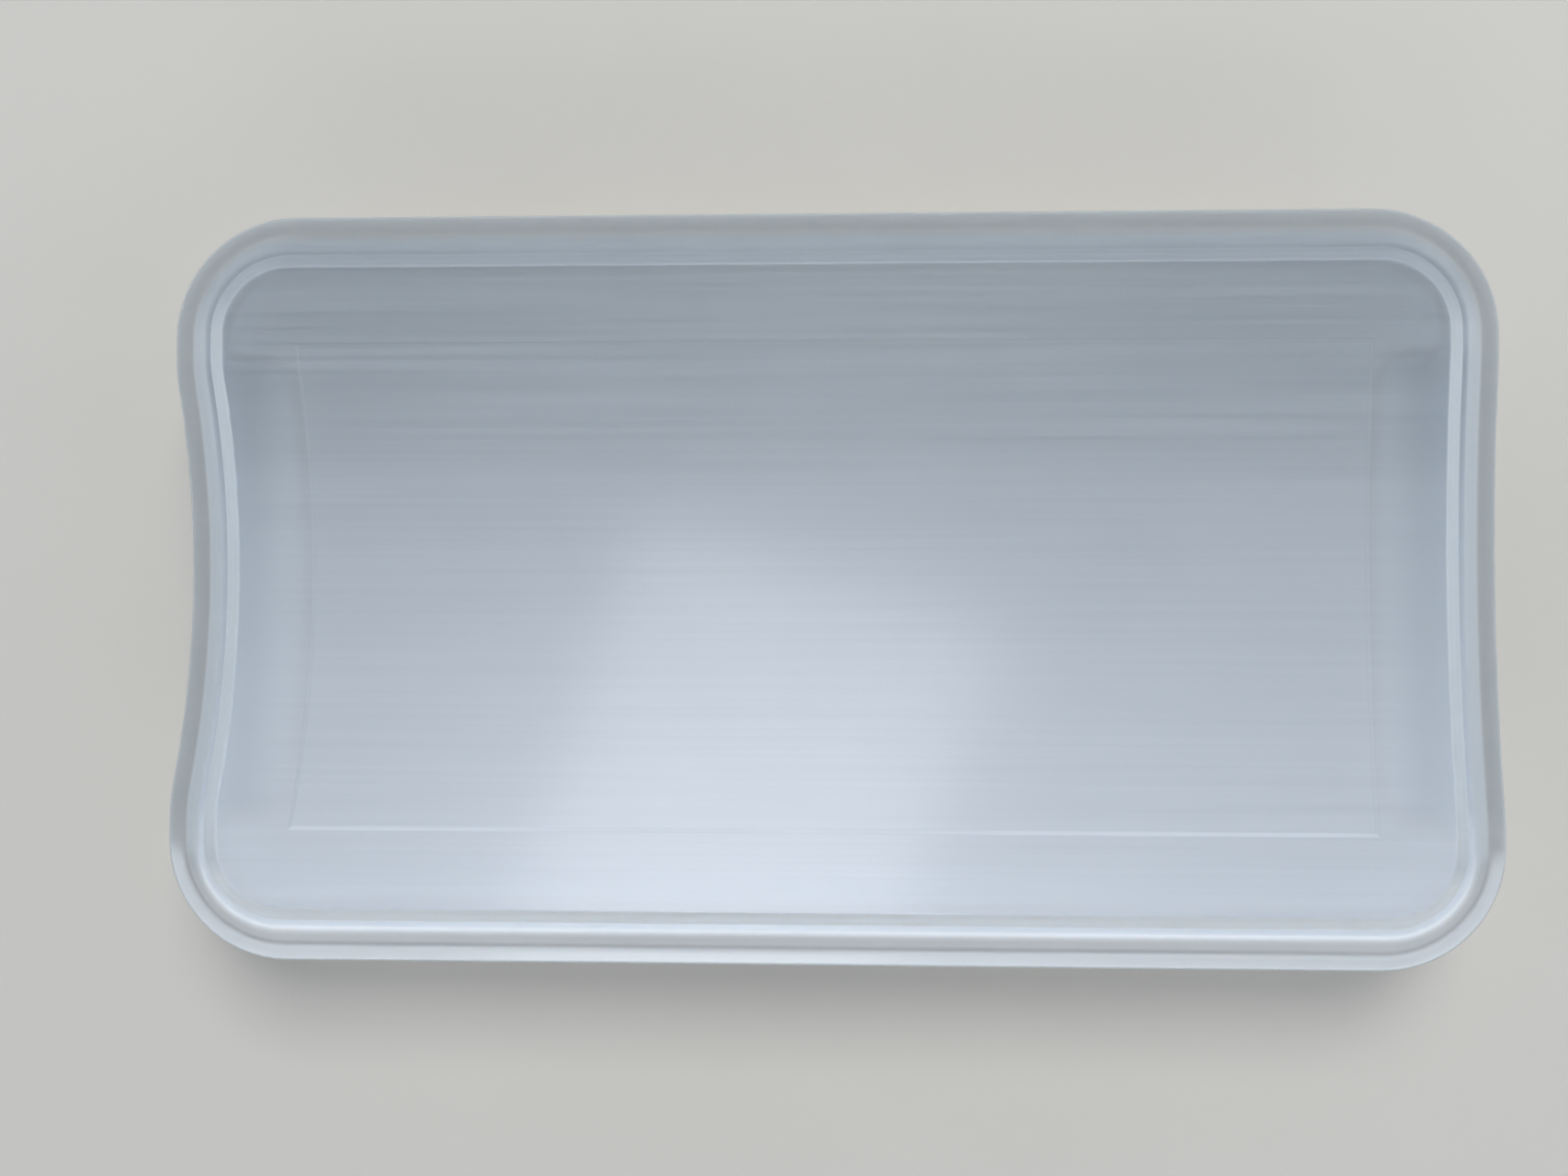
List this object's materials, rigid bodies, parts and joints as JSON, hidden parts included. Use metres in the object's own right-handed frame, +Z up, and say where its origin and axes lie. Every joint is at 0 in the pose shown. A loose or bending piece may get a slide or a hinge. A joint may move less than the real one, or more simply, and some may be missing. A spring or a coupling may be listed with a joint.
{
  "type": "wet palette",
  "caption": "Flat frosted wet palette for acrylic paints: a shallow tray with finger recesses and a ribbed lift-off lid, holding a water sponge and a palette sheet.",
  "frame": {"origin": "on the table, under the middle of the tray", "axes": "+X along the length, towards the less bowed end; +Y across the width; +Z up, the way the lid lifts off"},
  "size_m": [0.2405, 0.136, 0.0269],
  "materials": {
    "tray_plastic": "frosted natural polypropylene, injection moulded",
    "lid_plastic": "frosted bluish-white polypropylene, injection moulded",
    "sponge_foam": "damp open-cell sponge, die cut",
    "sheet_paper": "damp parchment-type palette paper"
  },
  "bodies": {
    "tray": {"tray": "tray_plastic"},
    "lid": {"lid": "lid_plastic"},
    "sheet": {"palette_sheet": "sheet_paper"},
    "sponge": {"sponge": "sponge_foam"}
  },
  "joints": [
    {"name": "lid_lift", "type": "slide", "parent": "tray", "child": "lid", "axis": [0, 0, 1], "range_m": [0, 0.12]},
    {"name": "sheet_lift", "type": "slide", "parent": "tray", "child": "sheet", "axis": [0, 0, 1], "range_m": [0, 0.075]},
    {"name": "sponge_lift", "type": "slide", "parent": "tray", "child": "sponge", "axis": [0, 0, 1], "range_m": [0, 0.042]}
  ],
  "couplings": [
    {"joint": "sheet_lift", "follows": "lid_lift", "ratio": 0.6},
    {"joint": "sponge_lift", "follows": "lid_lift", "ratio": 0.3}
  ]
}
